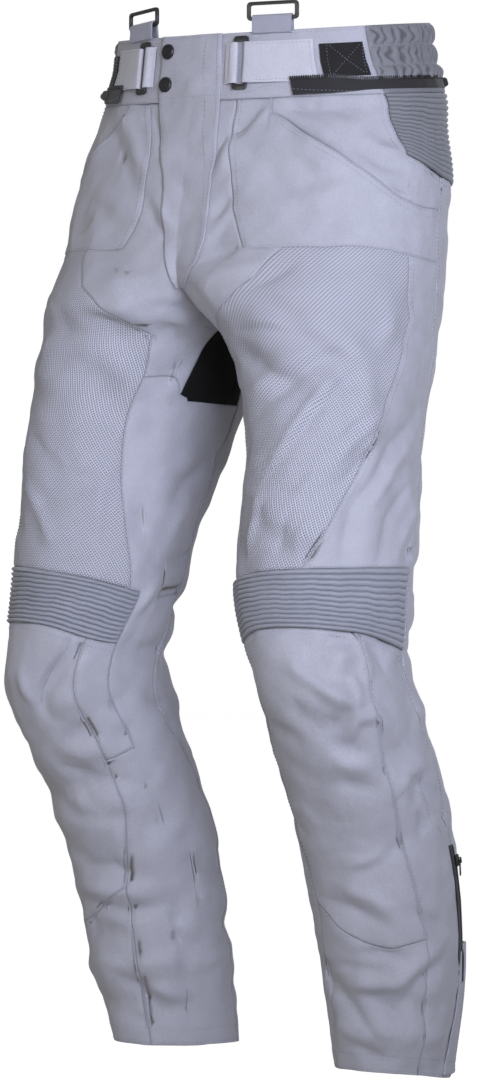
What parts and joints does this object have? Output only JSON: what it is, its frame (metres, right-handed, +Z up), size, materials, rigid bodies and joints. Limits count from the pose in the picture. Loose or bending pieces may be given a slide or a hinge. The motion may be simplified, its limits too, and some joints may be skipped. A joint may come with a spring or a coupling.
{
  "type": "motorcycle trousers",
  "caption": "Textile motorcycle trousers, filled out as worn: mesh thighs, ribbed knees and waist, belt adjusters, brace rings, leg zips.",
  "frame": {"origin": "middle of the waist, halfway up the waistband in front", "axes": "+Z up along the body, -Y the front, +X the wearer's left"},
  "size_m": [0.4825, 0.3386, 1.1031],
  "materials": {
    "cloth": "woven, matt",
    "mesh": "open mesh, matt",
    "rib_cloth": "ribbed stretch, matt",
    "strap_cloth": "smooth, matt",
    "gusset_cloth": "matt",
    "hook_tape": "looped, matt",
    "zip_tape": "woven, matt",
    "webbing": "woven, matt",
    "black_plastic": "satin",
    "snap_metal": "satin, dark"
  },
  "bodies": {
    "trousers": {"front_left": "cloth", "front_right": "cloth", "pocket_panel_left": "cloth", "pocket_panel_right": "cloth", "hip_front_left": "cloth", "hip_front_right": "cloth", "back_leg_left": "cloth", "back_leg_right": "cloth", "thigh_outer_left": "cloth", "thigh_outer_right": "cloth", "inner_leg_left": "cloth", "inner_leg_right": "cloth", "shin_strip_left": "cloth", "shin_strip_right": "cloth", "shin_panel_left": "cloth", "shin_panel_right": "cloth", "ankle_front_left": "cloth", "ankle_front_right": "cloth", "shin_outer_left": "cloth", "shin_outer_right": "cloth", "waistband_front_left": "cloth", "waistband_front_right": "cloth", "waist_elastic_left": "cloth", "waist_elastic_right": "cloth", "hem_flap_left": "cloth", "hem_flap_right": "cloth", "thigh_mesh_left": "mesh", "thigh_mesh_right": "mesh", "yoke_left": "rib_cloth", "yoke_right": "rib_cloth", "knee_ribs_left": "rib_cloth", "knee_ribs_right": "rib_cloth", "belt_strap_left": "strap_cloth", "belt_strap_right": "strap_cloth", "belt_anchor_left": "strap_cloth", "belt_anchor_right": "strap_cloth", "fastening_patch_left": "hook_tape", "fastening_patch_right": "hook_tape", "leg_zip_left": "zip_tape", "leg_zip_right": "zip_tape", "brace_webbing_left": "webbing", "brace_webbing_right": "webbing", "belt_ring_left": "black_plastic", "belt_ring_right": "black_plastic", "zip_slider_left": "black_plastic", "zip_slider_right": "black_plastic", "crotch_gusset": "gusset_cloth", "waistband_back": "cloth", "fly_shield": "cloth", "connection_zip": "zip_tape", "snap_upper": "snap_metal", "snap_lower": "snap_metal"},
    "brace_ring_left": {"brace_ring_left": "black_plastic"},
    "brace_ring_right": {"brace_ring_right": "black_plastic"},
    "zip_pull_left": {"zip_pull_left": "black_plastic"},
    "zip_pull_right": {"zip_pull_right": "black_plastic"}
  },
  "joints": [
    {"name": "brace_ring_left_swing", "type": "hinge", "parent": "trousers", "child": "brace_ring_left", "pos_m": [0.08493, -0.10726, 0.04325], "axis": [0.9415, 0.337, 0], "range_deg": [-140, 140]},
    {"name": "zip_pull_left_swing", "type": "hinge", "parent": "trousers", "child": "zip_pull_left", "pos_m": [0.23347, 0.00854, -0.8055], "axis": [0.4051, -0.8626, -0.3031], "range_deg": [0, 150]},
    {"name": "brace_ring_right_swing", "type": "hinge", "parent": "trousers", "child": "brace_ring_right", "pos_m": [-0.08543, -0.10701, 0.05096], "axis": [0.9529, -0.3034, 0], "range_deg": [-140, 140]},
    {"name": "zip_pull_right_swing", "type": "hinge", "parent": "trousers", "child": "zip_pull_right", "pos_m": [-0.23363, 0.00867, -0.80557], "axis": [0.4105, 0.8598, 0.3038], "range_deg": [0, 150]}
  ]
}
